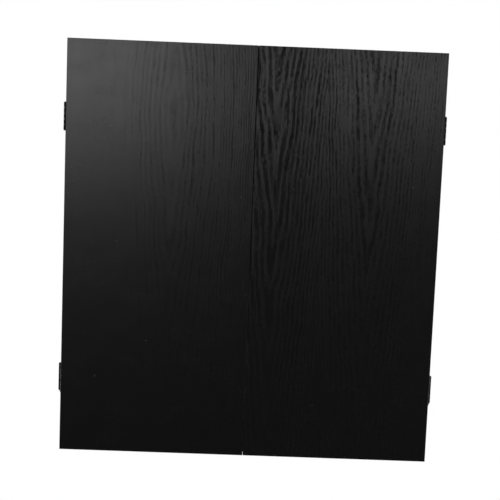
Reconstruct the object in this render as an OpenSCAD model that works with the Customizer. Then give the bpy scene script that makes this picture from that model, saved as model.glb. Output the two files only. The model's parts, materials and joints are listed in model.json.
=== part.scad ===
// Wall cabinet for a dart board: a shallow box with two doors on butt hinges.
// Frame: X to the right, Y towards the wall, Z up. The origin is the centre of the
// four wall screw holes, on the plane where the cabinet's back meets the wall.

/* [Cabinet] */
// Width across the box and the closed doors
cabinet_w = 540; // [510:1:700]
// Height of the box and the doors
cabinet_h = 597; // [540:1:760]
// Depth of the box, from the wall to its front edges
box_depth = 64; // [60:1:110]
// Depth of a door, from its front face to its rear edges
door_depth = 18; // [17:1:50]
// Gap between the box's front edges and the closed doors
door_gap = 1.2; // [1:0.1:2]
// Gap between the two doors where they meet
meeting_gap = 0.5; // [0.4:0.1:3]

/* [Boards] */
// Thickness of the box's sides, top and bottom
wall_t = 15; // [14:1:22]
// Thickness of the hanging rails and the batten behind the back panel
rail_t = 10; // [10:1:15]
// Height of a hanging rail
rail_h = 60; // [40:1:70]
// Width of the batten that carries the board bracket
batten_w = 90; // [80:1:140]
// Thickness of the back panel
back_t = 3; // [2.5:0.5:6]
// Depth of the groove that holds the back panel's edges
groove_depth = 5; // [3:0.5:6]
// Room round the back panel in its groove
groove_clearance = 0.1; // [0.05:0.05:0.5]

/* [Doors] */
// Thickness of a door's front panel
panel_t = 5; // [4:0.5:5]
// Radius of the front panel's outer edges
panel_edge_r = 0.5; // [0.3:0.1:2]
// Width of a door's stiles and rails, seen from inside
frame_w = 15; // [15:1:25]
// Thickness of the scoreboard
score_t = 3; // [2:0.5:4]
// Room round the scoreboard inside the door's frame
score_clearance = 0.5; // [0.2:0.1:2]

/* [Wall fixing] */
// Distance between the wall holes across the cabinet, one wall stud to the next
wall_hole_pitch = 406.4; // [300:0.1:430]
// Diameter of a wall hole
wall_hole_d = 5.5; // [4:0.1:8]

/* [Dowels and screws] */
// Diameter of a wooden dowel
dowel_d = 6; // [5:0.5:7]
// Length of a wooden dowel
dowel_l = 30; // [24:1:40]
// Depth that a dowel reaches into a side or a stile
dowel_in_side = 10; // [8:1:12]
// Diameter of a wood screw
screw_d = 3; // [2.5:0.1:3.5]
// Diameter of a countersunk screw head
screw_head_d = 5.4; // [5:0.1:6.5]
// Length of the screws in the box and the stiles
screw_l = 12; // [8:1:12]
// Length of the screws in a dart rack
rack_screw_l = 8; // [7:0.5:9]
// Distance from the box's front edge to the first corner dowel
dowel_front_inset = 14; // [8:1:16]
// Distance from the back panel to the second corner dowel
dowel_back_inset = 12; // [8:1:14]
// Room at each end of a dowel for glue
dowel_end_gap = 1; // [0.5:0.5:2]
// Radial room round a dowel or a screw
fastener_clearance = 0.05; // [0.02:0.01:0.1]

/* [Hinges] */
// Length of a hinge's barrel
hinge_l = 40; // [30:1:60]
// Distance from the cabinet's top to the middle of an upper hinge
upper_hinge_inset = 110; // [60:1:180]
// Distance from the cabinet's bottom to the middle of a lower hinge
lower_hinge_inset = 105; // [60:1:180]
// Width of a leaf, from the pin's axis to its free edge
leaf_w = 16; // [14:0.5:17]
// Thickness of a leaf
leaf_t = 1.2; // [1:0.1:1.6]
// Outer radius of the barrel
barrel_r = 2.7; // [2.4:0.1:4]
// Room between the barrel and the wood beside it
barrel_clearance = 0.3; // [0.3:0.1:1]
// Radius of the pin
pin_r = 1.3; // [1:0.1:1.5]
// Radial running clearance of the pin in the barrel
pin_clearance = 0.05; // [0.02:0.01:0.1]
// Number of knuckles along the barrel
knuckles = 5; // [3:2:7]
// Gap between neighbouring knuckles
knuckle_gap = 0.3; // [0.3:0.1:0.6]
// Distance from the pin's axis to the leaf's screws
leaf_hole_y = 9.5; // [8:0.5:10]
// Distance between a leaf's two screws
leaf_hole_pitch = 24; // [16:1:34]

/* [Board bracket] */
// Width of the raised web that the board's screw hangs on
bracket_web_w = 40; // [30:1:50]
// Width of each foot beside the web
bracket_foot_w = 14; // [12:1:18]
// Height of the bracket
bracket_h = 60; // [50:1:90]
// Thickness of the bracket's steel
bracket_t = 1.5; // [1:0.1:2]
// Height of the web's outer face over the back panel
bracket_rise = 6; // [6:0.5:12]
// Width of the slot for the board's screw
bracket_slot_w = 8; // [6:0.5:10]
// Distance between a foot's two screws
bracket_hole_pitch = 36; // [24:1:44]

/* [Catches] */
// Height of a catch case
catch_h = 12; // [11:1:18]
// Depth of a catch case
catch_d = 16; // [14:1:24]
// Wall of the case beside a magnet
catch_wall = 1.4; // [1:0.1:3]
// Width of each ear that a catch's screw holds
catch_ear_w = 9; // [8:0.5:14]
// Thickness of an ear
catch_ear_t = 6; // [4:0.5:8]
// Distance that the pole plates stand out of the case
pole_proud = 0.4; // [0.2:0.1:0.8]
// Room round a magnet and its pole plates in the case
pocket_clearance = 0.1; // [0.05:0.05:0.3]
// Width of a magnet
magnet_w = 9; // [8:0.5:11]
// Thickness of a magnet
magnet_t = 5; // [4:0.5:5]
// Depth of a magnet and its pole plates
magnet_d = 11; // [8:1:12]
// Thickness of a pole plate
pole_t = 1; // [0.8:0.1:1.2]
// Air gap between the pole plates and a strike plate
catch_air_gap = 0.1; // [0.1:0.05:0.4]
// Thickness of a strike plate
strike_t = 1; // [0.8:0.1:1]
// Width of a strike plate
strike_w = 12; // [11:0.5:14]
// Height of a strike plate
strike_h = 13; // [11:0.5:16]

/* [Bumpers] */
// Diameter of a rubber bumper
bumper_d = 8; // [6:0.5:12]
// Thickness of a rubber bumper
bumper_t = 1; // [0.6:0.1:1]
// Distance from the cabinet's middle to a bumper
bumper_x = 60; // [35:1:120]

/* [Dart racks] */
// Length of a dart rack
rack_l = 150; // [130:1:200]
// Depth of the rack's shelf
rack_d = 20; // [18:1:30]
// Thickness of the shelf
rack_shelf_t = 3; // [2.5:0.5:5]
// Height of the rack's flange
rack_flange_h = 16; // [14:1:24]
// Thickness of the flange
rack_flange_t = 2.5; // [2:0.5:3]
// Diameter of a dart hole
dart_hole_d = 9; // [7:0.5:10]
// Wall of the collar under a dart hole
collar_wall = 2; // [1.5:0.5:3]
// Length of the collar under the shelf
collar_l = 7; // [4:1:12]
// Distance between neighbouring dart holes
dart_pitch = 45; // [35:1:55]
// Number of dart holes in a rack
dart_holes = 3; // [2:1:3]
// Height of the shelf's top over the cabinet's bottom
rack_z = 58; // [40:1:90]
// Distance from a door's hinged edge to the rack's middle
rack_inset = 105; // [95:1:120]

/* [Hidden] */

// Number of facets that draws a round shape
$fn = 48;

// Sides and ends of the cabinet, as signs of X and Z
left = -1;
right = 1;
lower = -1;
upper = 1;

// Overshoot of a cut past the face that it opens
cut = 1;

// Planes of the box and the doors, along Y
back_rear = -rail_t;
back_front = back_rear - back_t;
box_front = -box_depth;
door_rear = box_front - door_gap;
panel_rear = -box_depth - door_gap - door_depth + panel_t;
score_rear = panel_rear + score_t;

// Half sizes and the box's inner faces
half_w = cabinet_w / 2;
half_h = cabinet_h / 2;
inner_x = half_w - wall_t;
inner_z = half_h - wall_t;

// One door, from the meeting gap to the hinged edge
door_near = meeting_gap / 2;
door_w = half_w - door_near;
stile_d = door_depth - panel_t;
stile_y = door_rear - stile_d / 2;

// Hinge pin axes
hinge_x = half_w + barrel_r + barrel_clearance;
hinge_y = box_front - door_gap / 2;
hinge_inset = [lower_hinge_inset, upper_hinge_inset];

// Wall holes, and the corner dowels' places along Y
wall_hole_z = inner_z - rail_h / 2;
corner_dowel_y = [box_front + dowel_front_inset, back_front - dowel_back_inset];

// Screw rows in the back panel
rail_screw_x = [-150, -70, 70, 150];
batten_screw_z = [-150, 150];

// Catches: the magnets' middle faces the strike plates' middle
strike_x = door_near + frame_w / 2;
strike_z = inner_z - catch_h / 2;
pole_front = door_rear + strike_t + catch_air_gap;
case_front = pole_front + pole_proud;
ear_x = strike_x + magnet_w / 2 + pocket_clearance + catch_wall;

foil = [0.09, 0.09, 0.095];
foil_inside = [0.13, 0.13, 0.135];
bare_board = [0.55, 0.42, 0.28];
pale_wood = [0.82, 0.7, 0.5];
black_steel = [0.16, 0.16, 0.17];
bright_steel = [0.7, 0.7, 0.72];
wipe_white = [0.92, 0.92, 0.9];
moulded_black = [0.12, 0.12, 0.12];
ferrite = [0.25, 0.24, 0.24];

// A box from its lowest corner to its highest corner
module block(low, high) {
    translate(low)
        cube(high - low);
}

// A straight round bar along one direction, from a point
module bar(start, turn, r, l) {
    translate(start)
        rotate(turn)
            cylinder(r = r, h = l);
}

// Turns that lay a bar, drawn along +Z, onto another axis
along_x = [0, 90, 0];
along_minus_x = [0, -90, 0];
along_y = [-90, 0, 0];
along_minus_y = [90, 0, 0];
along_z = [0, 0, 0];
along_minus_z = [180, 0, 0];

// ---- Screws and dowels ----

screw_neck = (screw_head_d - screw_d) / 2;
screw_tip_d = 0.5;
recess_w = 0.6;
recess_l = 2.6;
recess_depth = 0.9;

// A countersunk wood screw: head face at the origin, point along +Z
module wood_screw(l) {
    difference() {
        union() {
            cylinder(d1 = screw_head_d, d2 = screw_d, h = screw_neck);
            translate([0, 0, screw_neck])
                cylinder(d = screw_d, h = l - screw_neck - screw_d);
            translate([0, 0, l - screw_d])
                cylinder(d1 = screw_d, d2 = screw_tip_d, h = screw_d);
        }
        for (turn = [0, 90])
            rotate([0, 0, turn])
                translate([-recess_l / 2, -recess_w / 2, -cut])
                    cube([recess_l, recess_w, cut + recess_depth]);
    }
}

// The hole for that screw, open above its head
module screw_hole(l) {
    room = fastener_clearance;
    translate([0, 0, -cut])
        cylinder(d = screw_head_d + 2 * room, h = cut);
    cylinder(d1 = screw_head_d + 2 * room, d2 = screw_d + 2 * room, h = screw_neck);
    translate([0, 0, screw_neck])
        cylinder(d = screw_d + 2 * room, h = l + room - screw_neck);
}

// A dowel that starts inside a side and points along +Z into the next board
module dowel() {
    translate([0, 0, -dowel_in_side])
        cylinder(d = dowel_d, h = dowel_l);
}

module dowel_hole() {
    translate([0, 0, -dowel_in_side - dowel_end_gap])
        cylinder(d = dowel_d + 2 * fastener_clearance, h = dowel_l + 2 * dowel_end_gap);
}

// ---- Places of the box's fasteners ----

// Dowels between a side and the boards that meet it
module at_side_dowels(side) {
    inwards = side == right ? along_minus_x : along_x;
    for (end = [lower, upper]) {
        for (y = corner_dowel_y)
            translate([side * inner_x, y, end * (half_h - wall_t / 2)])
                rotate(inwards)
                    children();
        for (drop = [rail_h / 4, rail_h * 3 / 4])
            translate([side * inner_x, -rail_t / 2, end * (inner_z - drop)])
                rotate(inwards)
                    children();
    }
}

module at_back_screws() {
    for (end = [lower, upper], x = rail_screw_x)
        translate([x, back_front, end * wall_hole_z])
            rotate(along_y)
                children();
    for (z = batten_screw_z)
        translate([0, back_front, z])
            rotate(along_y)
                children();
}

module at_bracket_screws() {
    for (side = [left, right], end = [lower, upper])
        translate([
            side * (bracket_web_w + bracket_foot_w) / 2,
            back_front - bracket_t,
            end * bracket_hole_pitch / 2
        ])
            rotate(along_y)
                children();
}

module at_wall_holes() {
    for (side = [left, right], end = [lower, upper])
        translate([side * wall_hole_pitch / 2, 0, end * wall_hole_z])
            rotate(along_minus_y)
                children();
}

module wall_hole() {
    translate([0, 0, -cut])
        cylinder(d = wall_hole_d, h = rail_t + back_t + 2 * cut);
}

// ---- Box ----

// The groove round the box's inside, as the room that the back panel needs
module back_groove() {
    reach = groove_depth + groove_clearance;
    block(
        [-inner_x - reach, back_front - groove_clearance, -inner_z - reach],
        [inner_x + reach, back_rear, inner_z + reach]
    );
}

module side(which) {
    color(foil)
        difference() {
            block(
                [which == right ? inner_x : -half_w, box_front, -half_h],
                [which == right ? half_w : -inner_x, 0, half_h]
            );
            back_groove();
            at_side_dowels(which) dowel_hole();
            at_hinges(which) box_leaf_screws() screw_hole(screw_l);
        }
}

module left_side() side(left);
module right_side() side(right);

module end_panel(end) {
    color(foil)
        difference() {
            block(
                [-inner_x, box_front, end == upper ? inner_z : -half_h],
                [inner_x, 0, end == upper ? half_h : -inner_z]
            );
            back_groove();
            for (which = [left, right])
                at_side_dowels(which) dowel_hole();
            at_catch(end) catch_screw_holes();
        }
}

module top_panel() end_panel(upper);
module bottom_panel() end_panel(lower);

module back_panel() {
    color(foil_inside)
        difference() {
            block(
                [-inner_x - groove_depth, back_front, -inner_z - groove_depth],
                [inner_x + groove_depth, back_rear, inner_z + groove_depth]
            );
            at_wall_holes() wall_hole();
            at_back_screws() screw_hole(screw_l);
            at_bracket_screws() screw_hole(screw_l);
        }
}

module hanging_rail(end) {
    color(bare_board)
        difference() {
            block(
                [-inner_x, back_rear, end == upper ? inner_z - rail_h : -inner_z],
                [inner_x, 0, end == upper ? inner_z : rail_h - inner_z]
            );
            at_wall_holes() wall_hole();
            at_back_screws() screw_hole(screw_l);
            for (which = [left, right])
                at_side_dowels(which) dowel_hole();
        }
}

module upper_hanging_rail() hanging_rail(upper);
module lower_hanging_rail() hanging_rail(lower);

module bracket_batten() {
    color(bare_board)
        difference() {
            block(
                [-batten_w / 2, back_rear, rail_h - inner_z],
                [batten_w / 2, 0, inner_z - rail_h]
            );
            at_back_screws() screw_hole(screw_l);
            at_bracket_screws() screw_hole(screw_l);
        }
}

module box_dowels() {
    color(pale_wood)
        for (which = [left, right])
            at_side_dowels(which) dowel();
}

module back_panel_screws() {
    color(black_steel)
        at_back_screws() wood_screw(screw_l);
}

// ---- Board bracket ----

// The bracket's section across the cabinet: a raised web between two feet
module bracket_section() {
    web = bracket_web_w / 2;
    foot = web + bracket_foot_w;
    rise = bracket_rise;
    polygon([
        [-foot, 0], [-web + bracket_t, 0], [-web + bracket_t, -rise + bracket_t],
        [web - bracket_t, -rise + bracket_t], [web - bracket_t, 0], [foot, 0],
        [foot, -bracket_t], [web, -bracket_t], [web, -rise],
        [-web, -rise], [-web, -bracket_t], [-foot, -bracket_t]
    ]);
}

// The board's centre screw drops into the slot and rests at the origin's height
module board_bracket() {
    color(black_steel)
        difference() {
            translate([0, back_front, -bracket_h / 2])
                linear_extrude(height = bracket_h)
                    bracket_section();
            bar([0, back_front, 0], along_minus_y, bracket_slot_w / 2, bracket_rise + cut);
            block(
                [-bracket_slot_w / 2, back_front - bracket_rise - cut, 0],
                [bracket_slot_w / 2, back_front, bracket_h / 2 + cut]
            );
            at_bracket_screws() screw_hole(screw_l);
        }
}

module board_bracket_screws() {
    color(bright_steel)
        at_bracket_screws() wood_screw(screw_l);
}

// ---- Catches ----

// A catch is drawn under the top panel, and is mirrored for the bottom one
module at_catch(end) {
    mirror([0, 0, end == lower ? 1 : 0])
        translate([0, 0, inner_z])
            children();
}

module at_catch_screws() {
    for (which = [left, right])
        translate([which * (ear_x + catch_ear_w / 2), case_front + catch_d / 2, -catch_ear_t])
            children();
}

module catch_screw_holes() {
    at_catch_screws() screw_hole(screw_l);
}

// Half the height of a magnet between its two pole plates
stack_h = magnet_t / 2 + pole_t;

module catch_case(end) {
    room = pocket_clearance;
    color(moulded_black)
        at_catch(end)
            difference() {
                union() {
                    block([-ear_x, case_front, -catch_h], [ear_x, case_front + catch_d, 0]);
                    block(
                        [-ear_x - catch_ear_w, case_front, -catch_ear_t],
                        [ear_x + catch_ear_w, case_front + catch_d, 0]
                    );
                }
                for (which = [left, right])
                    translate([which * strike_x, 0, -catch_h / 2])
                        block(
                            [-magnet_w / 2 - room, case_front - cut, -stack_h - room],
                            [magnet_w / 2 + room, pole_front + magnet_d, stack_h + room]
                        );
                catch_screw_holes();
            }
}

module upper_catch_case() catch_case(upper);
module lower_catch_case() catch_case(lower);

module catch_magnets() {
    color(ferrite)
        for (end = [lower, upper], which = [left, right])
            at_catch(end)
                translate([which * strike_x, 0, -catch_h / 2])
                    block(
                        [-magnet_w / 2, pole_front + pole_proud, -magnet_t / 2],
                        [magnet_w / 2, pole_front + magnet_d, magnet_t / 2]
                    );
}

module catch_pole_plates() {
    color(bright_steel)
        for (end = [lower, upper], which = [left, right], low = [-stack_h, magnet_t / 2])
            at_catch(end)
                translate([which * strike_x, 0, -catch_h / 2])
                    block(
                        [-magnet_w / 2, pole_front, low],
                        [magnet_w / 2, pole_front + magnet_d, low + pole_t]
                    );
}

module catch_screws() {
    color(bright_steel)
        for (end = [lower, upper])
            at_catch(end)
                at_catch_screws() wood_screw(screw_l);
}

module door_bumpers() {
    color(moulded_black)
        for (which = [left, right], end = [lower, upper])
            bar(
                [which * bumper_x, box_front, end * (half_h - wall_t / 2)],
                along_minus_y, bumper_d / 2, bumper_t
            );
}

// ---- Hinges ----

// Everything at a hinge is drawn for the right side and mirrored for the left one
module at_hinge(which, end) {
    mirror([which == left ? 1 : 0, 0, 0])
        translate([hinge_x, hinge_y, end * (half_h - hinge_inset[end == upper ? 1 : 0])])
            children();
}

module at_hinges(which) {
    for (end = [lower, upper])
        at_hinge(which, end)
            children();
}

// The wood's face and the leaf's outer face, from the pin's axis
wood_face = -barrel_r - barrel_clearance;
leaf_face = wood_face + leaf_t;
knuckle_pitch = hinge_l / knuckles;

module knuckle(n, r, extra) {
    translate([0, 0, -hinge_l / 2 + n * knuckle_pitch + knuckle_gap / 2 - extra])
        cylinder(r = r, h = knuckle_pitch - knuckle_gap + 2 * extra);
}

module box_leaf_screws() {
    for (z = [-1, 1] * leaf_hole_pitch / 2)
        translate([leaf_face, leaf_hole_y, z])
            rotate(along_minus_x)
                children();
}

module door_leaf_screws() {
    mirror([0, 1, 0])
        box_leaf_screws()
            children();
}

// A leaf that carries every second knuckle and is cut back from the others
module leaf(first) {
    relief = barrel_r + barrel_clearance;
    difference() {
        union() {
            block([wood_face, 0, -hinge_l / 2], [leaf_face, leaf_w, hinge_l / 2]);
            for (n = [first : 2 : knuckles - 1])
                knuckle(n, barrel_r, 0);
        }
        for (n = [1 - first : 2 : knuckles - 1])
            translate([0, 0, -hinge_l / 2 + n * knuckle_pitch - knuckle_gap / 2])
                block(
                    [wood_face - cut, -cut, n == 0 ? -cut : 0],
                    [barrel_r, relief, knuckle_pitch + knuckle_gap + (n == knuckles - 1 ? cut : 0)]
                );
        for (n = [first : 2 : knuckles - 1])
            knuckle(n, pin_r + pin_clearance, cut);
        box_leaf_screws() screw_hole(screw_l);
    }
}

module box_leaf(which, end) {
    color(black_steel)
        at_hinge(which, end)
            leaf(0);
}

module door_leaf(which, end) {
    color(black_steel)
        at_hinge(which, end)
            mirror([0, 1, 0])
                leaf(1);
}

pin_head_lip = 0.9;
pin_head_r = pin_r + pin_head_lip;
pin_head_t = 0.6;

module hinge_pin(which, end) {
    color(black_steel)
        at_hinge(which, end) {
            cylinder(r = pin_r, h = hinge_l, center = true);
            for (tip = [lower, upper])
                translate([0, 0, tip * (hinge_l + pin_head_t) / 2])
                    cylinder(r = pin_head_r, h = pin_head_t, center = true);
        }
}

module left_upper_box_leaf() box_leaf(left, upper);
module left_lower_box_leaf() box_leaf(left, lower);
module right_upper_box_leaf() box_leaf(right, upper);
module right_lower_box_leaf() box_leaf(right, lower);
module left_upper_door_leaf() door_leaf(left, upper);
module left_lower_door_leaf() door_leaf(left, lower);
module right_upper_door_leaf() door_leaf(right, upper);
module right_lower_door_leaf() door_leaf(right, lower);
module left_upper_hinge_pin() hinge_pin(left, upper);
module left_lower_hinge_pin() hinge_pin(left, lower);
module right_upper_hinge_pin() hinge_pin(right, upper);
module right_lower_hinge_pin() hinge_pin(right, lower);

module box_hinge_screws() {
    color(black_steel)
        for (which = [left, right])
            at_hinges(which) box_leaf_screws() wood_screw(screw_l);
}

module door_hinge_screws(which) {
    color(black_steel)
        at_hinges(which) door_leaf_screws() wood_screw(screw_l);
}

// ---- Doors ----

// Everything in a door is drawn for the right one and mirrored for the left one
module door_side(which) {
    mirror([which == left ? 1 : 0, 0, 0])
        children();
}

// A rectangle from its low to its high corner, with the two corners at low Y rounded
module eased_section(low, high, r) {
    size = high - low;
    translate(low) {
        translate([r, 0])
            square([size[0] - 2 * r, size[1]]);
        translate([0, r])
            square([size[0], size[1] - r]);
        for (x = [r, size[0] - r])
            translate([x, r])
                circle(r = r);
    }
}

// The front panel: its four front edges are eased
module door_panel(which) {
    front = panel_rear - panel_t;
    color(foil)
        door_side(which)
            difference() {
                intersection() {
                    translate([0, 0, -half_h])
                        linear_extrude(height = cabinet_h)
                            eased_section([door_near, front], [half_w, panel_rear], panel_edge_r);
                    translate([half_w, 0, 0])
                        rotate([0, -90, 0])
                            linear_extrude(height = door_w)
                                eased_section([-half_h, front], [half_h, panel_rear], panel_edge_r);
                }
                at_rack_screws() screw_hole(rack_screw_l);
            }
}

// A stile's dowels and a rail's dowels are the same ones
module at_door_dowels() {
    for (end = [lower, upper], at_hinge_side = [false, true])
        translate([
            at_hinge_side ? half_w - frame_w : door_near + frame_w,
            stile_y,
            end * (half_h - frame_w / 2)
        ])
            rotate(at_hinge_side ? along_minus_x : along_x)
                children();
}

module at_strike_screws() {
    for (end = [lower, upper])
        translate([strike_x, door_rear + strike_t, end * strike_z])
            rotate(along_minus_y)
                children();
}

module hinge_stile(which) {
    color(foil)
        difference() {
            door_side(which)
                difference() {
                    block([half_w - frame_w, panel_rear, -half_h], [half_w, door_rear, half_h]);
                    at_door_dowels() dowel_hole();
                }
            at_hinges(which) door_leaf_screws() screw_hole(screw_l);
        }
}

module meeting_stile(which) {
    color(foil)
        door_side(which)
            difference() {
                block([door_near, panel_rear, -half_h], [door_near + frame_w, door_rear, half_h]);
                at_door_dowels() dowel_hole();
                at_strike_screws() screw_hole(screw_l);
            }
}

module door_rail(which, end) {
    color(foil)
        door_side(which)
            difference() {
                block(
                    [door_near + frame_w, panel_rear, end == upper ? half_h - frame_w : -half_h],
                    [half_w - frame_w, door_rear, end == upper ? half_h : frame_w - half_h]
                );
                at_door_dowels() dowel_hole();
            }
}

module door_dowels(which) {
    color(pale_wood)
        door_side(which)
            at_door_dowels() dowel();
}

module scoreboard(which) {
    edge = frame_w + score_clearance;
    color(wipe_white)
        door_side(which)
            difference() {
                block(
                    [door_near + edge, panel_rear, -half_h + edge],
                    [half_w - edge, score_rear, half_h - edge]
                );
                at_rack_screws() screw_hole(rack_screw_l);
            }
}

module strike_plates(which) {
    color(bright_steel)
        door_side(which)
            difference() {
                for (end = [lower, upper])
                    translate([strike_x, door_rear, end * strike_z])
                        block(
                            [-strike_w / 2, 0, -strike_h / 2],
                            [strike_w / 2, strike_t, strike_h / 2]
                        );
                at_strike_screws() screw_hole(screw_l);
            }
}

module strike_screws(which) {
    color(bright_steel)
        door_side(which)
            at_strike_screws() wood_screw(screw_l);
}

// ---- Dart racks ----

rack_x = half_w - rack_inset;
rack_top = -half_h + rack_z;
dart_y = score_rear + rack_flange_t + (rack_d - rack_flange_t) / 2;
dart_x = [for (n = [0 : dart_holes - 1]) rack_x + (n - (dart_holes - 1) / 2) * dart_pitch];
rack_screw_x = [for (n = [0 : dart_holes]) rack_x + (n - dart_holes / 2) * dart_pitch];

module at_rack_screws() {
    for (x = [rack_screw_x[0], rack_screw_x[dart_holes]])
        translate([x, score_rear + rack_flange_t, rack_top + rack_flange_h / 2])
            rotate(along_minus_y)
                children();
}

// An angle with a shelf: a collar under each hole keeps a dart upright
module dart_rack(which) {
    low_x = rack_x - rack_l / 2;
    high_x = rack_x + rack_l / 2;
    collar_r = dart_hole_d / 2 + collar_wall;
    color(moulded_black)
        door_side(which)
            difference() {
                union() {
                    block(
                        [low_x, score_rear, rack_top - rack_shelf_t],
                        [high_x, score_rear + rack_flange_t, rack_top + rack_flange_h]
                    );
                    block(
                        [low_x, score_rear, rack_top - rack_shelf_t],
                        [high_x, score_rear + rack_d, rack_top]
                    );
                    for (x = dart_x)
                        bar([x, dart_y, rack_top], along_minus_z, collar_r, rack_shelf_t + collar_l);
                }
                for (x = dart_x)
                    bar(
                        [x, dart_y, rack_top + cut], along_minus_z,
                        dart_hole_d / 2, rack_shelf_t + collar_l + 2 * cut
                    );
                at_rack_screws() screw_hole(rack_screw_l);
            }
}

module dart_rack_screws(which) {
    color(bright_steel)
        door_side(which)
            at_rack_screws() wood_screw(rack_screw_l);
}

module left_door_panel() door_panel(left);
module left_hinge_stile() hinge_stile(left);
module left_meeting_stile() meeting_stile(left);
module left_top_rail() door_rail(left, upper);
module left_bottom_rail() door_rail(left, lower);
module left_door_dowels() door_dowels(left);
module left_scoreboard() scoreboard(left);
module left_dart_rack() dart_rack(left);
module left_dart_rack_screws() dart_rack_screws(left);
module left_strike_plates() strike_plates(left);
module left_strike_screws() strike_screws(left);
module left_door_hinge_screws() door_hinge_screws(left);
module right_door_panel() door_panel(right);
module right_hinge_stile() hinge_stile(right);
module right_meeting_stile() meeting_stile(right);
module right_top_rail() door_rail(right, upper);
module right_bottom_rail() door_rail(right, lower);
module right_door_dowels() door_dowels(right);
module right_scoreboard() scoreboard(right);
module right_dart_rack() dart_rack(right);
module right_dart_rack_screws() dart_rack_screws(right);
module right_strike_plates() strike_plates(right);
module right_strike_screws() strike_screws(right);
module right_door_hinge_screws() door_hinge_screws(right);

left_side();
right_side();
top_panel();
bottom_panel();
back_panel();
upper_hanging_rail();
lower_hanging_rail();
bracket_batten();
box_dowels();
back_panel_screws();
board_bracket();
board_bracket_screws();
upper_catch_case();
lower_catch_case();
catch_magnets();
catch_pole_plates();
catch_screws();
door_bumpers();
box_hinge_screws();
left_upper_box_leaf();
left_lower_box_leaf();
right_upper_box_leaf();
right_lower_box_leaf();
left_upper_hinge_pin();
left_lower_hinge_pin();
right_upper_hinge_pin();
right_lower_hinge_pin();
left_door_panel();
left_hinge_stile();
left_meeting_stile();
left_top_rail();
left_bottom_rail();
left_door_dowels();
left_scoreboard();
left_dart_rack();
left_dart_rack_screws();
left_strike_plates();
left_strike_screws();
left_upper_door_leaf();
left_lower_door_leaf();
left_door_hinge_screws();
right_door_panel();
right_hinge_stile();
right_meeting_stile();
right_top_rail();
right_bottom_rail();
right_door_dowels();
right_scoreboard();
right_dart_rack();
right_dart_rack_screws();
right_strike_plates();
right_strike_screws();
right_upper_door_leaf();
right_lower_door_leaf();
right_door_hinge_screws();
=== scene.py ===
import json
import math

import bmesh
import bpy
from mathutils import Matrix, Vector


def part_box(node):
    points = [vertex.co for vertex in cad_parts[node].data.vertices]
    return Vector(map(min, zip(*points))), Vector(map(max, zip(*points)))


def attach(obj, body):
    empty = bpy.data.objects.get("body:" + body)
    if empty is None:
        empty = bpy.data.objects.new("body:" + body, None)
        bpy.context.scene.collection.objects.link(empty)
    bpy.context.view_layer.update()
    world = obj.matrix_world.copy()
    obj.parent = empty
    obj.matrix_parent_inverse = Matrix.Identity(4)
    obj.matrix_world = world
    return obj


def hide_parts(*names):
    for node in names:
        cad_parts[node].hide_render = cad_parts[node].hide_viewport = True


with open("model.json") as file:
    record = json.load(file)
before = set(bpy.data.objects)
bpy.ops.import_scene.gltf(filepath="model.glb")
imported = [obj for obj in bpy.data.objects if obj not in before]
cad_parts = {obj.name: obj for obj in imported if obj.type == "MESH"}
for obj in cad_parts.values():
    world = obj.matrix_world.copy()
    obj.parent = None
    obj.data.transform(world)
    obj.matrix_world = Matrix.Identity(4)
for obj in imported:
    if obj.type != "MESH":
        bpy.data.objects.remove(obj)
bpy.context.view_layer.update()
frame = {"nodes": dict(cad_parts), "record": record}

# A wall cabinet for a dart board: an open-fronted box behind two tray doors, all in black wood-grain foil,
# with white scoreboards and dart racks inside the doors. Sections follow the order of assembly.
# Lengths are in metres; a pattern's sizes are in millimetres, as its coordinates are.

# ---- Box walls --------------------------------------------------------------------------------------------
# Four 15 mm fibreboards make the box, butted and dowelled at the corners. Each is wrapped in black
# wood-grain foil: a printed paper foil pressed onto the board, so its edges are eased by the wrap.

WALL_EDGE = 0.0006
BOARD_FLAT_AREA = 2e-4
SHARP_ANGLE = math.radians(38)
FOIL_INK = "#060606"
FOIL_SHEET = "#0f0e0e"
FOIL_DUST = "#6d6a66"
FOIL_ROUGHNESS = (0.252, 0.28)
INK_ROUGHNESS = 0.85
INK_GLOSS = 0.47

# The print's patterns, in mm across and along a board.
WAVE = (60, 160)            # the slow waver of its rings
WOBBLE = (12, 34)           # their unevenness
DRIFT = (45, 70)            # the drift of their spacing
RAGGED = (3.5, 9)           # the tears at their edges
FLECK = (3.5, 6)            # the blotches of ink in them
PATCH = (6, 30)             # stretches where the print is heavier
FIBRE = (2.2, 70)           # fine straight lines between the rings
PORE = (0.7, 7.0)           # pores, a little coarser than real ones so that they show
PRESS = (34, 24)            # patches of sheen from the laminating roller's uneven pressure
DUST_SPACING = 170
WAVE_SWING = 6.0            # mm
WOBBLE_SWING = 1.8          # mm
DRIFT_SWING = 0.55          # rings
RAGGED_SWING = 0.24         # rings
TIP_BLUNT = 5.0             # how round the point of a ring is, in square mm
RING_CROWDING = 0.00085     # how the rings narrow with their distance from the heart
HEART_BLEND = 0.4           # rings over which two nests run into each other

body_of = {n: b for b, members in frame["record"]["behaviour"]["bodies"].items() for n in members}


def linear(colour):
    """An sRGB hex colour as linear red, green, blue and a full alpha."""
    parts = [int(colour[i:i + 2], 16) / 255 for i in (1, 3, 5)]
    return (*(c / 12.92 if c <= 0.04045 else ((c + 0.055) / 1.055) ** 2.4 for c in parts), 1.0)


def add(tree, kind, feeds=(), **settings):
    """Adds a shader node. settings are its properties, and feeds the values or links of its inputs."""
    made = tree.nodes.new("ShaderNode" + kind)
    for key, value in settings.items():
        setattr(made, key, value)
    for key, value in dict(feeds).items():
        if isinstance(value, bpy.types.Node):
            value = next(s for s in value.outputs if s.enabled)
        if isinstance(value, bpy.types.NodeSocket):
            tree.links.new(value, made.inputs[key])
        else:
            made.inputs[key].default_value = value
    return made


def finish(name):
    """A new material of that name, with an empty node tree."""
    material = bpy.data.materials.new(name)
    material.use_nodes = True
    material.node_tree.nodes.clear()
    return material, material.node_tree


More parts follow.
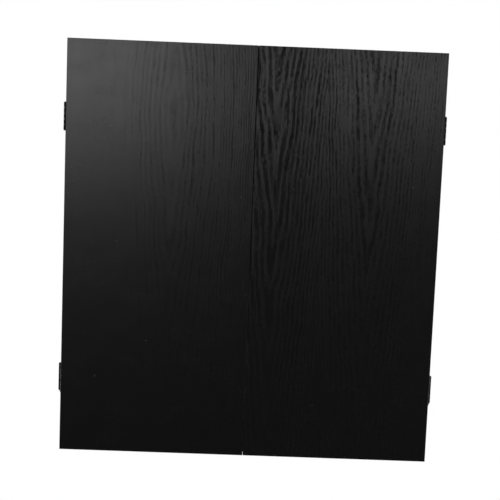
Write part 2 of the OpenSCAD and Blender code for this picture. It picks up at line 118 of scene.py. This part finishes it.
def ramp(tree, source, stops, ease="LINEAR"):
    """A curve of greys through (place, grey) stops, read at source."""
    made = add(tree, "ValToRGB", {0: source})
    made.color_ramp.interpolation = ease
    while len(made.color_ramp.elements) < len(stops):
        made.color_ramp.elements.new(0.5)
    for element, (place, grey) in zip(made.color_ramp.elements, stops):
        element.position = place
        element.color = (grey, grey, grey, 1)
    return made


def foil(name, lengthwise, hearts, pitch, spread, shows, gloss, seed, rugged=0.6, lens=None):
    """Black wood-grain foil, whose printed growth rings run along the "x" or the "z" axis.

    The rings are pitch mm apart across the board and spread mm apart along it. They close in a point above
    each heart, a place (across, along) in mm and a shift in rings, or both above and below it, as a lens
    whose sides are rounded over lens mm. shows gives the print's strength at places across the board, and
    rugged is how broken the rings are, from 0 to 1.
    The ink is matt and lies in fine embossed pores, so the grain shows as dull lines in a satin sheen."""
    material, tree = finish(name)
    place = add(tree, "TexCoord")
    metric = add(tree, "VectorMath", {0: place.outputs["Object"], "Scale": 1000.0}, operation="SCALE")
    xyz = add(tree, "SeparateXYZ", {0: metric})
    wide_axis, long_axis = (0, 2) if lengthwise == "z" else (2, 0)
    across = add(tree, "Math", {0: xyz.outputs[wide_axis], 1: xyz.outputs[1]}, operation="ADD")
    along = xyz.outputs[long_axis]
    sheet = add(tree, "CombineXYZ", {0: across, 1: along, 2: seed})

    def cloud(size, detail, depth):
        """Noise whose blotches are about size mm across and along the board. Each has a depth of its own."""
        scaled = add(tree, "VectorMath", {0: sheet, 1: (1 / size[0], 1 / size[1], 1.0), 2: (depth,) * 3},
                     operation="MULTIPLY_ADD")
        return add(tree, "TexNoise", {"Vector": scaled, "Scale": 1.0, "Detail": detail, "Roughness": 0.55})

    def shifted(value, noise, swing):
        """value plus noise from -swing to swing."""
        offset = add(tree, "Math", {0: noise, 1: 2.0 * swing, 2: -swing}, operation="MULTIPLY_ADD")
        return add(tree, "Math", {0: value, 1: offset}, operation="ADD")

    def spanned(value, low, high, least, most):
        """value's span from low to high, spread from least to most."""
        return add(tree, "MapRange", {0: value, 1: low, 2: high, 3: least, 4: most})

    # A ring's number grows with the distance from a heart, and changes steadily along the board.
    bent = shifted(across, cloud(WAVE, 1.0, 3.1), WAVE_SWING)
    bent = shifted(bent, cloud(WOBBLE, 2.0, 7.7), WOBBLE_SWING)
    rings = None
    for heart_across, heart_along, offset in hearts:
        side = add(tree, "Math", {0: bent, 1: heart_across}, operation="SUBTRACT")
        side = add(tree, "Math", {0: side, 1: side}, operation="MULTIPLY")
        side = add(tree, "Math", {0: side, 1: TIP_BLUNT}, operation="ADD")
        reach = add(tree, "Math", {0: side}, operation="SQRT")
        near = add(tree, "Math", {0: reach, 1: 1 / pitch, 2: offset}, operation="MULTIPLY_ADD")
        ring = add(tree, "Math", {0: side, 1: RING_CROWDING, 2: near}, operation="MULTIPLY_ADD")
        if rings is not None:
            ring = add(tree, "Math", {0: rings, 1: ring, 2: HEART_BLEND}, operation="SMOOTH_MIN")
        rings = ring
    height = add(tree, "Math", {0: along, 1: -hearts[0][1]}, operation="ADD")
    if lens:
        height = add(tree, "Math", {0: height, 1: height}, operation="MULTIPLY")
        height = add(tree, "Math", {0: height, 1: lens * lens}, operation="ADD")
        height = add(tree, "Math", {0: height}, operation="SQRT")
    fall = (1 if lens else -1) / spread
    count = add(tree, "Math", {0: height, 1: fall, 2: rings}, operation="MULTIPLY_ADD")
    count = shifted(count, cloud(DRIFT, 1.0, 6.6), DRIFT_SWING)
    count = shifted(count, cloud(RAGGED, 2.0, 1.3), RAGGED_SWING * rugged)

    # Each ring is dark in its first half and fades out, and some rings take more ink than others.
    turn = add(tree, "Math", {0: count}, operation="FRACT")
    stops = ((0.0, 0.15), (0.16, 0.75), (0.34, 1.0), (0.54, 0.75), (0.78, 0.05), (1.0, 0.15))
    strong = ramp(tree, turn, stops, "EASE")
    which = add(tree, "Math", {0: count}, operation="FLOOR")
    which = add(tree, "Math", {0: which, 1: seed}, operation="ADD")
    luck = add(tree, "TexWhiteNoise", {"W": which}, noise_dimensions="1D")
    luck = spanned(luck.outputs["Value"], 0.0, 1.0, 0.5, 1.05)
    patch = spanned(cloud(PATCH, 2.0, 5.9), 0.36, 0.62, 0.55, 1.2)
    fleck = spanned(cloud(FLECK, 3.0, 8.2), 0.36, 0.62, 1 - 0.42 * rugged, 1 + 0.4 * rugged)
    for share in (luck, patch, fleck):
        strong = add(tree, "Math", {0: strong, 1: share}, operation="MULTIPLY")
    fibre = spanned(cloud(FIBRE, 2.0, 9.4), 0.32, 0.68, 0.0, 0.45)
    strong = add(tree, "Math", {0: strong, 1: fibre}, operation="ADD")
    first, last = shows[0][0], shows[-1][0]
    where = spanned(across, first, last, 0.0, 1.0)
    shown = ramp(tree, where, [((x - first) / (last - first), grey) for x, grey in shows])
    strong = add(tree, "Math", {0: strong, 1: shown}, operation="MULTIPLY", use_clamp=True)
    pore = spanned(cloud(PORE, 1.0, 2.2), 0.35, 0.65, 0.7, 1.3)
    ink = add(tree, "Math", {0: strong, 1: pore}, operation="MULTIPLY", use_clamp=True)

    # The sheet between the rings is satin, with patches of sheen and a few specks of dust.
    rough = spanned(cloud(PRESS, 3.0, 4.4), 0.3, 0.7, *FOIL_ROUGHNESS)
    specks = add(tree, "TexVoronoi", {"Vector": sheet, "Scale": 1 / DUST_SPACING, "Randomness": 1.0},
                 voronoi_dimensions="2D")
    speck = spanned(specks.outputs["Distance"], 0.003, 0.006, 0.7, 0.0)
    dusty = add(tree, "Mix", {0: speck, 6: linear(FOIL_SHEET), 7: linear(FOIL_DUST)}, data_type="RGBA")
    pressed = add(tree, "Math", {0: ink, 1: -1.0}, operation="MULTIPLY")
    bump = add(tree, "Bump", {"Height": pressed, "Strength": 0.3, "Distance": 0.00012})
    satin = add(tree, "BsdfPrincipled", {"Base Color": dusty.outputs[2], "Roughness": rough, "Normal": bump,
                                         "IOR": 1.5, "Specular IOR Level": gloss})
    matt = add(tree, "BsdfPrincipled", {"Base Color": linear(FOIL_INK), "Roughness": INK_ROUGHNESS,
                                        "Normal": bump, "IOR": 1.5, "Specular IOR Level": INK_GLOSS})
    both = add(tree, "MixShader", {0: ink, 1: satin, 2: matt})
    add(tree, "OutputMaterial", {0: both})
    return material


def piece(bm, name, material, slot, *nodes, flat_over, body=None):
    """Makes a mesh object of bm that stands for the CAD nodes and rides on their body, or on the body named.
    Its faces of less than flat_over square metres, the narrow ones round its edges, are shaded smooth."""
    mesh = bpy.data.meshes.new(name)
    bm.to_mesh(mesh)
    bm.free()
    mesh.set_sharp_from_angle(angle=SHARP_ANGLE)
    for face in mesh.polygons:
        face.use_smooth = face.area < flat_over
    made = bpy.data.objects.new(name, mesh)
    bpy.context.scene.collection.objects.link(made)
    mesh.materials.append(material)
    if nodes:
        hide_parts(*nodes)
    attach(made, body or body_of[nodes[0]])


def board(node, material, edge=WALL_EDGE, slot="black_foil"):
    """A board with eased edges, as big as the CAD node's own."""
    low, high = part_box(node)
    bm = bmesh.new()
    bmesh.ops.create_cube(bm, size=1.0)
    bmesh.ops.scale(bm, vec=high - low, verts=bm.verts)
    bmesh.ops.translate(bm, vec=(low + high) / 2, verts=bm.verts)
    bmesh.ops.bevel(bm, geom=bm.edges[:], offset=edge, offset_type="OFFSET", affect="EDGES", segments=3,
                    profile=0.5, material=-1)
    piece(bm, node + "_board", material, slot, node, flat_over=BOARD_FLAT_AREA)


# The rings on the walls and frames are close together and nearly straight.
UPRIGHT_HEARTS = ((-300.0, 0.0, 0.0), (300.0, 0.0, 0.4))
LEVEL_HEARTS = ((-300.0, 0.0, 0.0), (260.0, 0.0, 0.4))
EVEN_SHOWS = ((-400, 0.7), (400, 0.7))
WALL_GLOSS = 0.45
upright_foil = foil("black_foil_upright_grain", "z", UPRIGHT_HEARTS, pitch=4.5, spread=160.0,
                    shows=EVEN_SHOWS, gloss=WALL_GLOSS, seed=41.0)
level_foil = foil("black_foil_level_grain", "x", LEVEL_HEARTS, pitch=5.0, spread=160.0,
                  shows=EVEN_SHOWS, gloss=WALL_GLOSS, seed=67.0)
for node in ("left_side", "right_side"):
    board(node, upright_foil)
for node in ("top_panel", "bottom_panel"):
    board(node, level_foil)

# ---- Back of the box --------------------------------------------------------------------------------------
# A 3 mm hardboard panel sits in a groove round the walls, smooth and black inside and meshed behind, where
# it was pressed on a wire screen. Behind it, bare fibreboard rails carry the wall screws and the bracket.

HARDBOARD_FACE = "#161514"
HARDBOARD_BACK = "#2b211a"
SCREEN_PITCH = 2.4
MDF_LIGHT = "#b89468"
MDF_DARK = "#8f6d47"
BEECH = ("#b98a5c", "#d9b185")


def plain(name, roughness, **sockets):
    """A material with one principled shader, and the place in mm on it. A pattern may replace its roughness."""
    material, tree = finish(name)
    place = add(tree, "TexCoord")
    metric = add(tree, "VectorMath", {0: place.outputs["Object"], "Scale": 1000.0}, operation="SCALE")
    feeds = {key.replace("_", " "): value for key, value in sockets.items()}
    shader = add(tree, "BsdfPrincipled", {"Roughness": roughness, **feeds})
    add(tree, "OutputMaterial", {0: shader})
    return material, tree, metric, shader


def mottle(tree, metric, shader, colours, scale, detail=3.0, stretch=(1, 1, 1), bump=0.0, rough=None,
           span=(0.35, 0.65)):
    """Gives a shader two colours in blotches of scale mm, with the same blotches in its height and roughness.
    span is the part of the noise that the two colours and the two roughnesses run over."""
    low, high = span
    scaled = add(tree, "VectorMath", {0: metric, 1: tuple(s / scale for s in stretch)}, operation="MULTIPLY")
    noise = add(tree, "TexNoise", {"Vector": scaled, "Scale": 1.0, "Detail": detail, "Roughness": 0.6})
    level = add(tree, "MapRange", {0: noise, 1: low, 2: high})
    mixed = add(tree, "Mix", {0: level, 6: linear(colours[0]), 7: linear(colours[1])}, data_type="RGBA")
    tree.links.new(mixed.outputs[2], shader.inputs["Base Color"])
    if bump:
        raised = add(tree, "Bump", {"Height": noise, "Strength": 0.6, "Distance": bump})
        tree.links.new(raised.outputs[0], shader.inputs["Normal"])
    if rough:
        varied = add(tree, "MapRange", {0: noise, 1: low, 2: high, 3: rough[0], 4: rough[1]})
        tree.links.new(varied.outputs[0], shader.inputs["Roughness"])


def dress(material, *nodes):
    """Puts a material on CAD nodes that keep their own shape."""
    for name in nodes:
        for held in frame["nodes"][name].material_slots:
            held.material = material


# Hardboard: black lacquer inside, bare dark fibre with a woven screen mark behind.
hardboard, tree, metric, shader = plain("hardboard_black_face", 0.5)
xyz = add(tree, "SeparateXYZ", {0: metric})
low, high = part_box("back_panel")
behind = add(tree, "Math", {0: xyz.outputs[1], 1: 1000 * (low.y + high.y) / 2}, operation="GREATER_THAN")
weave = []
for axis in (0, 2):
    wave = add(tree, "Math", {0: xyz.outputs[axis], 1: 2 * math.pi / SCREEN_PITCH}, operation="MULTIPLY")
    weave.append(add(tree, "Math", {0: wave}, operation="SINE"))
mesh_mark = add(tree, "Math", {0: weave[0], 1: weave[1]}, operation="MULTIPLY")
mesh_mark = add(tree, "Math", {0: mesh_mark, 1: behind}, operation="MULTIPLY")
speckle = add(tree, "TexNoise", {"Vector": metric, "Scale": 0.45, "Detail": 4.0, "Roughness": 0.65})
tone = add(tree, "MapRange", {0: speckle, 1: 0.3, 2: 0.7, 3: 0.55, 4: 1.35})
skin = add(tree, "Mix", {0: behind, 6: linear(HARDBOARD_FACE), 7: linear(HARDBOARD_BACK)}, data_type="RGBA")
skin = add(tree, "VectorMath", {0: skin.outputs[2], "Scale": tone}, operation="SCALE")
relief = add(tree, "Math", {0: speckle, 1: 0.5, 2: mesh_mark}, operation="MULTIPLY_ADD")
bump = add(tree, "Bump", {"Height": relief, "Strength": 0.5, "Distance": 0.0003})
rough = add(tree, "MapRange", {0: behind, 3: 0.42, 4: 0.8})
for key, value in (("Base Color", skin), ("Normal", bump), ("Roughness", rough)):
    tree.links.new(value.outputs[0], shader.inputs[key])
dress(hardboard, "back_panel")

# Bare medium-density fibreboard: even tan fibre, a little darker and furry in fine blotches.
mdf, tree, metric, shader = plain("bare_fibreboard", 0.8)
mottle(tree, metric, shader, (MDF_DARK, MDF_LIGHT), 2.5, detail=6.0, bump=0.0003, rough=(0.88, 0.7),
       span=(0.22, 0.72))
dress(mdf, "upper_hanging_rail", "lower_hanging_rail", "bracket_batten")

# Beech dowels: pale pinkish wood with short flecks along the peg.
beech, tree, metric, shader = plain("beech_dowel", 0.6)
mottle(tree, metric, shader, BEECH, 0.8, stretch=(0.2, 1, 1), bump=0.0001)
dress(beech, "box_dowels", "left_door_dowels", "right_door_dowels")

# ---- Board bracket, hinges and screws ---------------------------------------------------------------------
# Pressed steel under a thin black stoving paint: the open-slot bracket for the board, and four butt hinges
# whose barrels stand outside the cabinet. Screws are bright zinc plate inside and black at the hinges.

PAINT_BLACK = "#0a0a0b"
PAINT_WORN = "#18181a"
ZINC = "#a9adb0"
ZINC_DULL = "#84888c"
LEAF_EDGE = 0.00022
BRACKET_EDGE = 0.0003
STRIKE_EDGE = 0.0001
SMALL_FLAT_AREA = 6e-6
WELD = 1e-6
FLAT_ANGLE = math.radians(1)
CORNER_ANGLE = math.radians(50)


def eased(node, radius, material, slot):
    """A copy of the CAD node with its sharp edges rounded off, as pressing or moulding leaves them."""
    bm = bmesh.new()
    bm.from_mesh(frame["nodes"][node].data)
    bmesh.ops.remove_doubles(bm, verts=bm.verts[:], dist=WELD)
    bmesh.ops.dissolve_limit(bm, angle_limit=FLAT_ANGLE, verts=bm.verts[:], edges=bm.edges[:])
    sharp = [e for e in bm.edges if e.is_manifold and e.calc_face_angle(0) > CORNER_ANGLE]
    bmesh.ops.bevel(bm, geom=sharp, offset=radius, offset_type="OFFSET", affect="EDGES", segments=2,
                    profile=0.5, material=-1, clamp_overlap=True)
    bmesh.ops.remove_doubles(bm, verts=bm.verts[:], dist=WELD)
    piece(bm, node + "_eased", material, slot, node, flat_over=SMALL_FLAT_AREA)


# Black stoving paint on steel: satin, a little orange peel, rubbed thin in places.
painted, tree, metric, shader = plain("black_painted_steel", 0.55, Specular_IOR_Level=0.2)
mottle(tree, metric, shader, (PAINT_BLACK, PAINT_WORN), 3.0, detail=4.0, bump=0.00006, rough=(0.5, 0.65))
for side in ("left", "right"):
    for level in ("upper", "lower"):
        for part in ("box_leaf", "door_leaf"):
            eased(f"{side}_{level}_{part}", LEAF_EDGE, painted, "black_steel")
        dress(painted, f"{side}_{level}_hinge_pin")
    dress(painted, f"{side}_door_hinge_screws")
eased("board_bracket", BRACKET_EDGE, painted, "black_steel")
dress(painted, "box_hinge_screws", "back_panel_screws")

# Bright zinc plate: pale bluish metal with fine drawn streaks.
zinc, tree, metric, shader = plain("zinc_plated_steel", 0.35, Metallic=1.0)
mottle(tree, metric, shader, (ZINC_DULL, ZINC), 1.2, detail=4.0, stretch=(1, 1, 0.3), bump=0.00004,
       rough=(0.45, 0.28))
dress(zinc, "board_bracket_screws", "catch_screws", "catch_pole_plates")
for side in ("left", "right"):
    dress(zinc, f"{side}_dart_rack_screws", f"{side}_strike_screws")
    eased(f"{side}_strike_plates", STRIKE_EDGE, zinc, "zinc_steel")

# ---- Magnetic catches and bumpers -------------------------------------------------------------------------
# Two moulded cases under the top and over the bottom, each with two ferrite magnets between steel pole
# plates, hold the doors shut. Four rubber dots on the box's front edges quiet them.

CASE_EDGE = 0.0003
PLASTIC = ("#0d0d0e", "#151516")
FERRITE = ("#1c1c1f", "#38383b")
RUBBER = ("#121212", "#1e1e1e")

# Moulded plastic: black ABS with a fine spark-eroded texture.
plastic, tree, metric, shader = plain("moulded_black_plastic", 0.45)
mottle(tree, metric, shader, PLASTIC, 0.35, detail=2.0, bump=0.00005, rough=(0.4, 0.55))
for node in ("upper_catch_case", "lower_catch_case"):
    eased(node, CASE_EDGE, plastic, "black_plastic")

# Sintered ferrite: dull dark grey ceramic with a fine grit.
ferrite, tree, metric, shader = plain("ferrite_magnet", 0.6)
mottle(tree, metric, shader, FERRITE, 0.3, detail=3.0, bump=0.00005, rough=(0.5, 0.75))
dress(ferrite, "catch_magnets")

# Rubber: matt black with a faint bloom.
rubber, tree, metric, shader = plain("rubber_bumper", 0.75)
mottle(tree, metric, shader, RUBBER, 1.0, detail=3.0, bump=0.00008, rough=(0.65, 0.85))
dress(rubber, "door_bumpers")

# ---- Doors ------------------------------------------------------------------------------------------------
# Each door is a shallow tray: a flat front board glued over a frame of two stiles and two rails, all foil
# wrapped. The left door's print has one long lens in it, and the right door's two nests of arrowheads.

FRAME_EDGE = 0.0004
LEFT_LENS = ((-200.0, 185.0, -0.45),)
LEFT_SHOWS = ((-353, 0.1), (-270, 0.18), (-225, 0.26), (-190, 0.33), (-150, 0.43), (-83, 0.55))
RIGHT_NESTS = ((-53.0, 185.5, 0.0), (85.0, 185.5, -0.02))
RIGHT_SHOWS = ((-90, 1.0), (-25, 1.0), (5, 0.72), (40, 0.62), (70, 0.75), (110, 0.7), (150, 0.42),
               (190, 0.36))

left_foil = foil("black_foil_left_door", "z", LEFT_LENS, pitch=11.0, spread=70.0, shows=LEFT_SHOWS,
                 gloss=0.68, seed=11.0, rugged=0.25, lens=40.0)
right_foil = foil("black_foil_right_door", "z", RIGHT_NESTS, pitch=11.0, spread=90.0, shows=RIGHT_SHOWS,
                  gloss=0.8, seed=23.0, rugged=1.0)
for side, face in (("left", left_foil), ("right", right_foil)):
    board(f"{side}_door_panel", face)
    for node in (f"{side}_hinge_stile", f"{side}_meeting_stile"):
        board(node, upright_foil, FRAME_EDGE)
    for node in (f"{side}_top_rail", f"{side}_bottom_rail"):
        board(node, level_foil, FRAME_EDGE)

# ---- Scoreboards ------------------------------------------------------------------------------------------
# A white dry-wipe board is pinned inside each door's frame: a hard glossy melamine skin on 3 mm board,
# printed with columns and the numbers that a game counts down through.

BOARD_EDGE = 0.0003
BOARD_WHITE = ("#e7e9e8", "#edefee")
PRINT_INK = ("#17181a", "#232427")
PRINT_THICK = 0.00006
PRINT_WELD = 1e-7
LINE_WIDE = 0.0016
CENTRE_HALF = 0.024
SIDE_MARGIN = 0.016
TOP_MARGIN = 0.020
HEADER_TALL = 0.044
RACK_MARGIN = 0.018
FIRST_NUMBER = 20
NUMBERS = 6
ROWS = NUMBERS + 1          # the last row holds the ring and dot
NUMBER_TALL = 0.036
RING_RADIUS = 0.012
RING_WIDE = 0.003
DOT_RADIUS = 0.004

# Melamine skin: hard, smooth and white, with broad faint clouds from wiping.
whiteboard, tree, metric, shader = plain("dry_wipe_melamine", 0.22, IOR=1.5)
mottle(tree, metric, shader, BOARD_WHITE, 26.0, detail=3.0, stretch=(1, 1, 2.5), rough=(0.3, 0.2))
for side in ("left", "right"):
    board(f"{side}_scoreboard", whiteboard, BOARD_EDGE, "white_board")

# Screen-printed ink: flat black enamel, a touch thinner where the mesh lifted.
print_ink, tree, metric, shader = plain("screen_printed_ink", 0.45)
mottle(tree, metric, shader, PRINT_INK, 0.6, detail=3.0, rough=(0.4, 0.55))


def print_bar(bm, low, high):
    """Adds a flat printed bar between two (x, z) corners to a sheet that lies in x and z."""
    made = bmesh.ops.create_grid(bm, x_segments=1, y_segments=1, size=0.5)["verts"]
    bmesh.ops.rotate(bm, cent=(0, 0, 0), matrix=Matrix.Rotation(-math.pi / 2, 3, "X"), verts=made)
    bmesh.ops.scale(bm, vec=(high[0] - low[0], 1, high[1] - low[1]), verts=made)
    bmesh.ops.translate(bm, vec=((low[0] + high[0]) / 2, 0, (low[1] + high[1]) / 2), verts=made)


def print_disc(bm, x, z, radius, hole=0.0):
    """Adds a flat printed disc to the sheet, or a ring when hole, the radius of its hole, is given."""
    made = bmesh.ops.create_circle(bm, cap_ends=True, segments=48, radius=radius)["verts"]
    bmesh.ops.rotate(bm, cent=(0, 0, 0), matrix=Matrix.Rotation(-math.pi / 2, 3, "X"), verts=made)
    bmesh.ops.translate(bm, vec=(x, 0, z), verts=made)
    if hole:
        face = made[0].link_faces[0]
        bmesh.ops.inset_region(bm, faces=[face], thickness=radius - hole, use_boundary=True,
                               use_even_offset=True)
        bmesh.ops.delete(bm, geom=[face], context="FACES_ONLY")


def print_number(bm, text, x, z, tall):
    """Adds a number whose middle is at (x, z), as it reads from inside the cabinet."""
    curve = bpy.data.curves.new("number", "FONT")
    curve.body = text
    curve.size = tall
    curve.align_x = "CENTER"
    curve.align_y = "CENTER"
    letters = bpy.data.objects.new("number", curve)
    bpy.context.scene.collection.objects.link(letters)
    bpy.context.view_layer.update()
    mesh = bpy.data.meshes.new_from_object(letters.evaluated_get(bpy.context.evaluated_depsgraph_get()))
    mesh.transform(Matrix(((-1, 0, 0, x), (0, 0, 1, 0), (0, 1, 0, z), (0, 0, 0, 1))))
    bm.from_mesh(mesh)
    bpy.data.objects.remove(letters)
    bpy.data.curves.remove(curve)
    bpy.data.meshes.remove(mesh)


for side in ("left", "right"):
    low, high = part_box(f"{side}_scoreboard")
    middle = (low.x + high.x) / 2
    top = high.z - TOP_MARGIN
    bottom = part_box(f"{side}_dart_rack")[1].z + RACK_MARGIN
    header = top - HEADER_TALL
    row_tall = (header - bottom) / ROWS
    edges = (low.x + SIDE_MARGIN, high.x - SIDE_MARGIN)
    bm = bmesh.new()
    for x in (edges[0], middle - CENTRE_HALF, middle + CENTRE_HALF - LINE_WIDE, edges[1] - LINE_WIDE):
        print_bar(bm, (x, bottom), (x + LINE_WIDE, top))
    for z in (top, *(header - row * row_tall for row in range(ROWS + 1))):
        spans = (edges[0], middle - CENTRE_HALF), (middle + CENTRE_HALF, edges[1])
        if z in (top, header, bottom):
            spans = (edges,)
        for start, end in spans:
            print_bar(bm, (start, z - LINE_WIDE / 2), (end, z + LINE_WIDE / 2))
    for row in range(NUMBERS):
        print_number(bm, str(FIRST_NUMBER - row), middle, header - (row + 0.5) * row_tall, NUMBER_TALL)
    bull = header - (NUMBERS + 0.5) * row_tall
    print_disc(bm, middle, bull, RING_RADIUS, RING_RADIUS - RING_WIDE)
    print_disc(bm, middle, bull, DOT_RADIUS)
    bmesh.ops.remove_doubles(bm, verts=bm.verts[:], dist=PRINT_WELD)
    bmesh.ops.translate(bm, vec=(0, high.y + PRINT_THICK, 0), verts=bm.verts[:])
    for face in bm.faces:
        if face.normal.y < 0:
            face.normal_flip()
    bmesh.ops.solidify(bm, geom=bm.faces[:], thickness=PRINT_THICK)
    piece(bm, f"{side}_scoreboard_print", print_ink, "black_plastic", flat_over=0.0, body=f"{side}_door")

# ---- Dart racks -------------------------------------------------------------------------------------------
# A shelf of moulded black plastic hangs under each scoreboard, held by two screws through its flange.
# Three darts stand in its collared holes.

RACK_EDGE = 0.0004

for side in ("left", "right"):
    eased(f"{side}_dart_rack", RACK_EDGE, plastic, "black_plastic")

# ---- Studio -----------------------------------------------------------------------------------------------
# A pale floor well below the cabinet, a pale surround, and soft boxes: two in front, whose reflections give
# the doors their sheen, and others above, beside, behind and at the low corners for the other sides.

FLOOR_LOW = -1.3
FLOOR_RADIUS = 1.9
FLOOR_PALE = "#e8e8e6"
SURROUND_REFLECTED = 0.03
SURROUND_FILL = 0.28
SURROUND_SEEN = 1.0

bm = bmesh.new()
bmesh.ops.create_circle(bm, cap_ends=True, segments=96, radius=FLOOR_RADIUS)
bmesh.ops.translate(bm, vec=(0, 0, FLOOR_LOW), verts=bm.verts[:])
mesh = bpy.data.meshes.new("floor")
bm.to_mesh(mesh)
bm.free()
floor = bpy.data.objects.new("floor", mesh)
bpy.context.scene.collection.objects.link(floor)
floor.visible_glossy = False
floor_paint, tree = finish("floor_pale_paint")
shader = add(tree, "BsdfPrincipled", {"Base Color": linear(FLOOR_PALE), "Roughness": 0.8})
add(tree, "OutputMaterial", {0: shader})
mesh.materials.append(floor_paint)

world = bpy.data.worlds.new("studio")
bpy.context.scene.world = world
world.use_nodes = True
world.node_tree.nodes.clear()
path = add(world.node_tree, "LightPath")
dim = add(world.node_tree, "Background", {"Color": (1, 1, 1, 1), "Strength": SURROUND_REFLECTED})
fill = add(world.node_tree, "Background", {"Color": (1, 1, 1, 1), "Strength": SURROUND_FILL})
pale = add(world.node_tree, "Background", {"Color": (1, 1, 1, 1), "Strength": SURROUND_SEEN})
soft = add(world.node_tree, "MixShader", {0: path.outputs["Is Diffuse Ray"], 1: dim, 2: fill})
both = add(world.node_tree, "MixShader", {0: path.outputs["Is Camera Ray"], 1: soft, 2: pale})
add(world.node_tree, "OutputWorld", {0: both})

# Each soft box has its place, its width and height in metres, and its power in watts. All face the cabinet.
for name, place, size, power in (
    ("front_left", (-1.134, -4.0, 0.579), (2.0, 0.99), 17.0),
    ("front_right", (0.738, -4.0, 0.483), (0.94, 0.3), 3.0),
    ("above", (0.0, 0.0, 3.4), (3.0, 2.4), 24.0),
    ("behind", (1.2, 3.2, 2.4), (2.5, 1.6), 60.0),
    ("right", (3.0, 2.2, 1.9), (1.6, 1.6), 50.0),
    ("left", (-3.0, 2.2, 1.9), (1.6, 1.6), 50.0),
    ("low_left", (-3.6, 0.0, -1.5), (2.4, 0.8), 22.0),
    ("low_right", (3.6, 0.0, -1.5), (2.4, 0.8), 22.0),
    ("low_front_left", (-2.7, -2.7, -1.2), (1.5, 1.0), 4.0),
    ("low_front_right", (2.7, -2.7, -1.2), (1.5, 1.0), 4.0),
    ("low_back_left", (-2.7, 2.7, -1.2), (1.5, 1.0), 18.0),
    ("low_back_right", (2.7, 2.7, -1.2), (1.5, 1.0), 18.0),
):
    lamp = bpy.data.lights.new(name, "AREA")
    lamp.shape = "RECTANGLE"
    lamp.size, lamp.size_y = size
    lamp.energy = power
    held = bpy.data.objects.new(name, lamp)
    bpy.context.scene.collection.objects.link(held)
    held.location = place
    held.rotation_mode = "QUATERNION"
    held.rotation_quaternion = Vector(place).to_track_quat("Z", "Y")
    held.visible_camera = False

# ---- Camera -----------------------------------------------------------------------------------------------
# A long lens, a little left of the middle of the cabinet and above it. It looks slightly down, and is held
# a little off level.

CAMERA_PLACE = (-0.0273, -1.6832, 0.2017)
CAMERA_LENS = 80.42
CAMERA_YAW = math.radians(0.944)
CAMERA_TILT = math.radians(-6.930)
CAMERA_ROLL = math.radians(2.298)

camera = bpy.data.cameras.new("camera")
camera.sensor_width = 36.0
camera.lens = CAMERA_LENS
camera.clip_start = 0.05
camera.clip_end = 50.0
viewer = bpy.data.objects.new("camera", camera)
bpy.context.scene.collection.objects.link(viewer)
viewer.rotation_mode = "QUATERNION"
turned = Matrix.Rotation(-CAMERA_YAW, 3, "Z")
tilted = Matrix.Rotation(math.pi / 2 + CAMERA_TILT, 3, "X")
rolled = Matrix.Rotation(CAMERA_ROLL, 3, "Z")
viewer.rotation_quaternion = (turned @ tilted @ rolled).to_quaternion()
viewer.location = CAMERA_PLACE
bpy.context.scene.camera = viewer
bpy.context.scene.view_settings.view_transform = "Standard"
